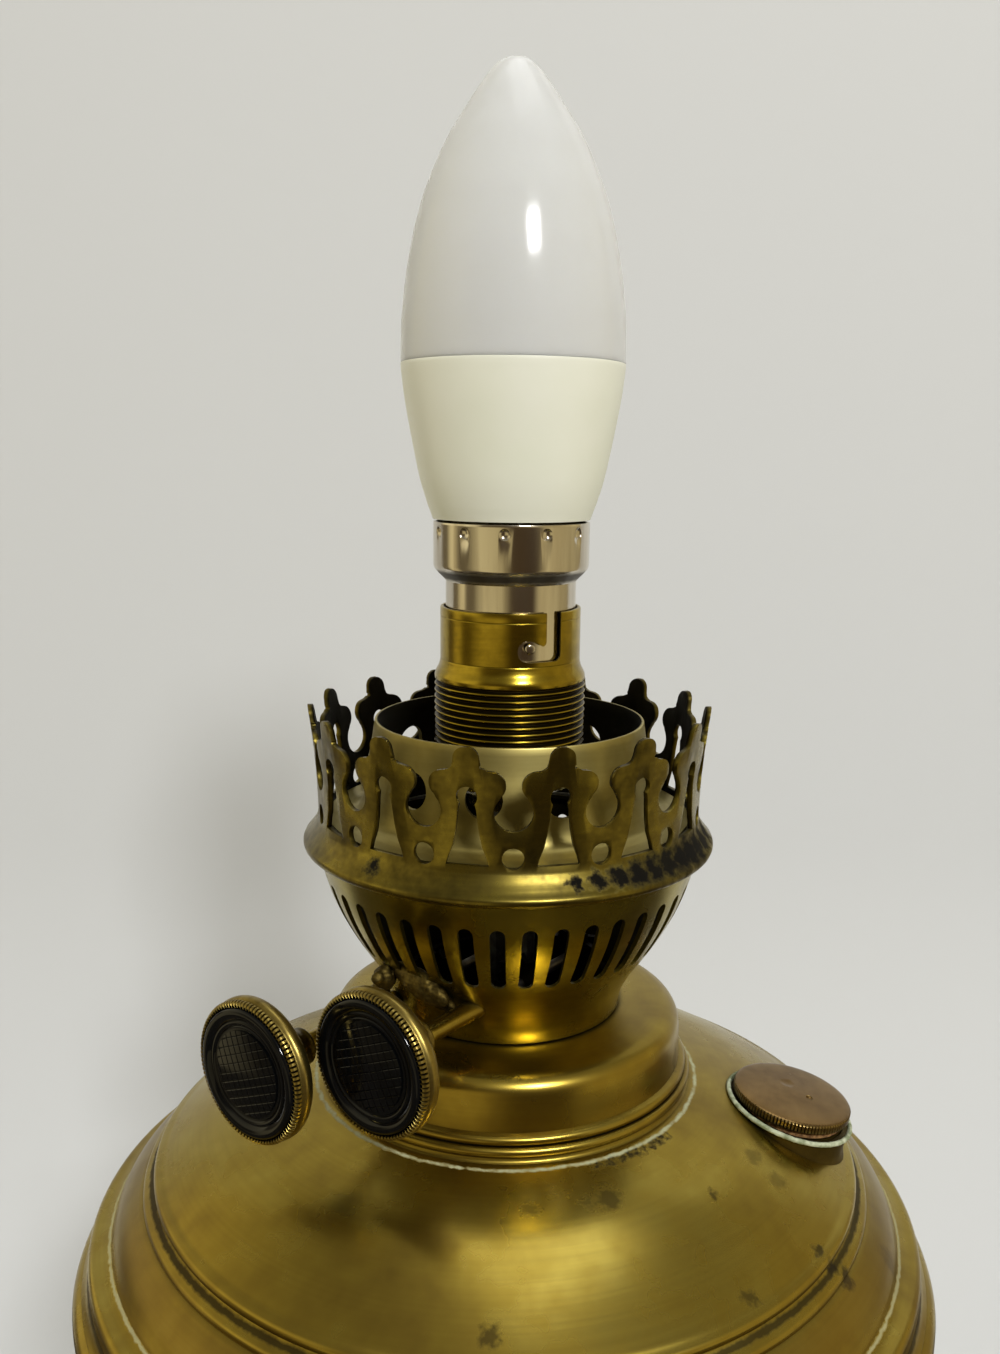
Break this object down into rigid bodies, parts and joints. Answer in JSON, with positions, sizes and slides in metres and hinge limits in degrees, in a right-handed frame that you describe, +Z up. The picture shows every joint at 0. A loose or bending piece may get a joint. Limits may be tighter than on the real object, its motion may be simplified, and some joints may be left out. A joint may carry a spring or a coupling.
{
  "type": "electrified oil lamp",
  "caption": "Brass table oil lamp with a winder burner, gallery and draught tube, converted to hold an electric candle bulb in a bayonet lampholder; it lights a table.",
  "frame": {"origin": "centre of the felt's underside, on the table", "axes": "+Z up along the lamp's axis; -Y towards the camera side; +X towards the filler cap's side"},
  "size_m": [0.152, 0.152, 0.3544],
  "materials": {
    "aged_brass": "old polished brass, mottled olive gold",
    "brown_bronze": "brass with a brown patina",
    "steel": "plain turned steel",
    "nickel": "bright plated metal",
    "cast_iron": "raw casting",
    "black_resin": "polished black moulding",
    "cream_plastic": "smooth warm white moulding",
    "milk_plastic": "milky translucent moulding",
    "felt": "green felt",
    "cork": "cork packing",
    "board": "circuit board",
    "porcelain": "glazed cream block"
  },
  "bodies": {
    "lamp": {"felt_pad": "felt", "foot_plate": "steel", "foot_ballast": "cast_iron", "foot_shell": "aged_brass", "cable_bush": "black_resin", "tie_rod": "steel", "tie_nut_lower": "steel", "tie_nut_upper": "steel", "tie_washer_lower": "steel", "tie_washer_upper": "steel", "stem_knop": "aged_brass", "font_lower": "aged_brass", "font_upper": "aged_brass", "filler_neck": "aged_brass", "font_collar": "aged_brass"},
    "burner": {"burner_bowl": "aged_brass", "burner_base": "aged_brass", "draught_tube": "brown_bronze", "gallery": "aged_brass", "winder_sleeve_front": "aged_brass", "winder_sleeve_rear": "aged_brass", "winder_bracket": "aged_brass", "shaft_bearing": "steel", "lampholder_shell": "aged_brass", "lampholder_base": "aged_brass", "contact_block": "porcelain", "plunger_spring_a": "steel", "plunger_spring_b": "steel", "nipple": "steel", "nipple_nut_upper": "steel", "nipple_nut_lower": "steel"},
    "winder_front": {"winder_shaft_front": "steel", "wick_wheel_front_outer": "steel", "wick_wheel_front_inner": "steel", "knob_front": "aged_brass", "knob_insert_front": "black_resin"},
    "winder_rear": {"winder_shaft_rear": "steel", "wick_wheel_rear_outer": "steel", "wick_wheel_rear_inner": "steel", "knob_rear": "aged_brass", "knob_insert_rear": "black_resin"},
    "cap_washer": {"filler_washer": "cork"},
    "cap": {"filler_cap": "brown_bronze"},
    "bulb": {"bulb_cap": "nickel", "bulb_pin_a": "nickel", "bulb_pin_b": "nickel", "bulb_insulator": "black_resin", "bulb_pad_a": "nickel", "bulb_pad_b": "nickel", "bulb_body": "cream_plastic", "bulb_diffuser": "milk_plastic", "led_board": "board", "driver_board": "board"},
    "plunger_a": {"contact_plunger_a": "nickel"},
    "plunger_b": {"contact_plunger_b": "nickel"}
  },
  "joints": [
    {"name": "winder_front_spin", "type": "hinge", "parent": "burner", "child": "winder_front", "pos_m": [0.00723, -0.00553, 0.20529], "axis": [-0.6074, -0.7944, 0], "continuous": true},
    {"name": "winder_rear_spin", "type": "hinge", "parent": "burner", "child": "winder_rear", "pos_m": [-0.00723, 0.00553, 0.20109], "axis": [-0.6074, -0.7944, 0], "continuous": true},
    {"name": "burner_turn", "type": "hinge", "parent": "lamp", "child": "burner", "pos_m": [0, 0, 0.19809], "axis": [0, 0, 1], "range_deg": [0, 45]},
    {"name": "cap_lift", "type": "slide", "parent": "lamp", "child": "cap_washer", "axis": [0.1636, -0.0215, 0.9863], "range_m": [0, 0.0051]},
    {"name": "cap_unscrew", "type": "hinge", "parent": "cap_washer", "child": "cap", "pos_m": [0.05007, -0.00659, 0.18006], "axis": [0.1636, -0.0215, 0.9863], "range_deg": [0, 612]},
    {"name": "bulb_push", "type": "slide", "parent": "burner", "child": "bulb", "axis": [0, 0, -1], "range_m": [0, 0.0014], "stiffness_N_per_m": 2500},
    {"name": "plunger_a_push", "type": "slide", "parent": "burner", "child": "plunger_a", "axis": [0, 0, -1], "range_m": [0, 0.0014], "deforming": ["plunger_spring_a"]},
    {"name": "plunger_b_push", "type": "slide", "parent": "burner", "child": "plunger_b", "axis": [0, 0, -1], "range_m": [0, 0.0014], "deforming": ["plunger_spring_b"]}
  ],
  "couplings": [
    {"joint": "cap_unscrew", "follows": "cap_lift", "rad_per_m": 2094.4},
    {"joint": "plunger_a_push", "follows": "bulb_push", "ratio": 1},
    {"joint": "plunger_b_push", "follows": "bulb_push", "ratio": 1}
  ]
}
